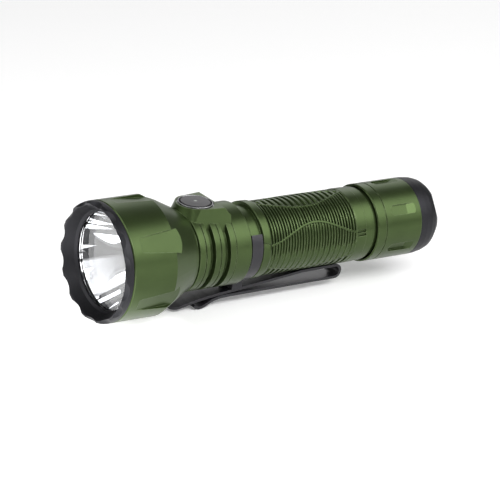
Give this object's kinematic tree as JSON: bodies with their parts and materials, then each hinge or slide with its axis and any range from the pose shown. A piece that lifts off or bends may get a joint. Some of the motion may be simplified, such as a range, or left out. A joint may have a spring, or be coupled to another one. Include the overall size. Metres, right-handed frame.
{
  "type": "tactical flashlight",
  "caption": "Hand-held tactical flashlight: scalloped bezel head with side switch, ribbed battery tube, two-way pocket clip and screw-on tail cap with tail switch.",
  "frame": {"origin": "centre of the flat tail end, on the optical axis", "axes": "+Y along the optical axis towards the tail (the beam leaves towards -Y), +Z out of the side switch, +X to the right of the switch seen from behind the light"},
  "size_m": [0.04, 0.1331, 0.0408],
  "materials": {
    "black_anodised": "matte charcoal hard-anodised aluminium, fine blast",
    "green_anodised": "satin olive green hard-anodised aluminium",
    "clear_glass": "anti-reflection coated toughened glass",
    "mirror_coat": "smooth vapour-metallised reflector",
    "seal_rubber": "black silicone rubber",
    "white_plastic": "moulded white plastic",
    "phosphor": "yellow phosphor under clear silicone",
    "bare_copper": "bare copper core board",
    "board_green": "fibreglass board, green solder mask",
    "dark_plastic": "black moulded plastic",
    "bright_steel": "turned stainless steel",
    "button_metal": "fine-blasted grey steel",
    "black_steel": "black coated spring steel",
    "contact_gold": "gold-plated contact metal",
    "nickel": "nickel plate",
    "wire_red": "red silicone insulation",
    "wire_yellow": "yellow enamel insulation",
    "cell_wrap_blue": "heat-shrunk blue film, plain",
    "indicator": "milky light guide"
  },
  "bodies": {
    "light_body": {"front_bezel": "black_anodised", "lens_glass": "clear_glass", "lens_o_ring": "seal_rubber", "reflector": "mirror_coat", "led_centering_ring": "white_plastic", "led_emitter": "phosphor", "led_board": "bare_copper", "led_board_screws": "bright_steel", "led_lead_wires": "wire_red", "head_shell": "green_anodised", "switch_bezel_ring": "bright_steel", "switch_boot": "seal_rubber", "switch_board": "board_green", "switch_dome": "nickel", "switch_lead_wires": "wire_yellow", "driver_board": "board_green", "driver_components": "dark_plastic", "driver_retaining_ring": "contact_gold", "head_contact_spring": "contact_gold", "head_o_ring": "seal_rubber", "battery_tube": "green_anodised", "tail_o_ring": "seal_rubber"},
    "side_button": {"switch_button": "button_metal", "switch_indicator_lens": "indicator"},
    "clip": {"pocket_clip": "black_steel"},
    "cell": {"cell_can": "nickel", "cell_wrap": "cell_wrap_blue", "cell_insulator": "white_plastic", "cell_positive_cap": "nickel"},
    "tail_cap": {"tail_cap_shell": "green_anodised", "tail_guard_ring": "black_anodised", "tail_spring": "contact_gold", "tail_board": "board_green", "tail_board_ring": "contact_gold", "tail_snap_dome": "nickel", "tail_return_spring": "bright_steel", "tail_button_seal": "seal_rubber"},
    "tail_button_body": {"tail_button": "button_metal", "tail_magnet": "nickel", "charge_contact_pin": "contact_gold", "charge_contact_insulator": "dark_plastic"}
  },
  "joints": [
    {"name": "side_switch_press", "type": "slide", "parent": "light_body", "child": "side_button", "axis": [0, 0, -1], "range_m": [0, 0.0007], "stiffness_N_per_m": 2000},
    {"name": "clip_turn", "type": "hinge", "parent": "light_body", "child": "clip", "pos_m": [0, -0.0775, 0], "axis": [0, 1, 0], "range_deg": [-120, 120]},
    {"name": "cell_slide", "type": "slide", "parent": "light_body", "child": "cell", "axis": [0, 1, 0], "range_m": [0, 0.00562]},
    {"name": "tail_cap_turn", "type": "hinge", "parent": "cell", "child": "tail_cap", "pos_m": [0, 0, 0], "axis": [0, 1, 0], "range_deg": [0, 1630]},
    {"name": "tail_switch_press", "type": "slide", "parent": "tail_cap", "child": "tail_button_body", "axis": [0, -1, 0], "range_m": [0, 0.0012], "stiffness_N_per_m": 2500, "deforming": ["tail_return_spring"]}
  ],
  "couplings": [
    {"joint": "tail_cap_turn", "follows": "cell_slide", "rad_per_m": 5026.5}
  ]
}
